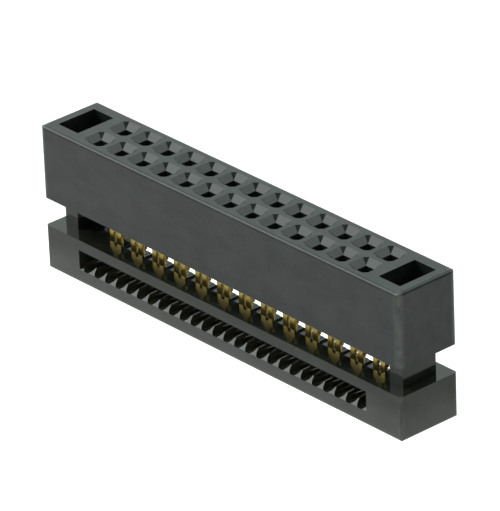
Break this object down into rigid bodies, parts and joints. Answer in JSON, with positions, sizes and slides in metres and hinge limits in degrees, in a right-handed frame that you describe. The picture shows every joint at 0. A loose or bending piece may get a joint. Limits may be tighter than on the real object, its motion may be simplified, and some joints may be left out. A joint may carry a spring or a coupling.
{
  "type": "idc socket connector",
  "caption": "Slim insulation-displacement socket for flat ribbon cable: moulded body with funnelled square pin holes over a slotted cable cover on latch arms, with stamped forked contacts.",
  "frame": {"origin": "middle of the cable cover's underside, which the part rests on with the cover open", "axes": "+X along the rows of pins, -Y out of the front face, +Z out of the mating face"},
  "size_m": [0.0412, 0.006, 0.0126],
  "materials": {
    "housing_plastic": "moulded, fine matt texture, dark grey",
    "cover_plastic": "moulded, fine matt texture, dark grey",
    "gold_plate": "thin gold plate over stamped phosphor bronze"
  },
  "bodies": {
    "socket": {"socket_body": "housing_plastic", "contact_01": "gold_plate", "contact_02": "gold_plate", "contact_03": "gold_plate", "contact_04": "gold_plate", "contact_05": "gold_plate", "contact_06": "gold_plate", "contact_07": "gold_plate", "contact_08": "gold_plate", "contact_09": "gold_plate", "contact_10": "gold_plate", "contact_11": "gold_plate", "contact_12": "gold_plate", "contact_13": "gold_plate", "contact_14": "gold_plate", "contact_15": "gold_plate", "contact_16": "gold_plate", "contact_17": "gold_plate", "contact_18": "gold_plate", "contact_19": "gold_plate", "contact_20": "gold_plate", "contact_21": "gold_plate", "contact_22": "gold_plate", "contact_23": "gold_plate", "contact_24": "gold_plate", "contact_25": "gold_plate", "contact_26": "gold_plate"},
    "cover": {"cable_cover": "cover_plastic"}
  },
  "joints": [
    {"name": "cover_slide", "type": "slide", "parent": "socket", "child": "cover", "axis": [0, 0, 1], "range_m": [0, 0.0024]}
  ]
}
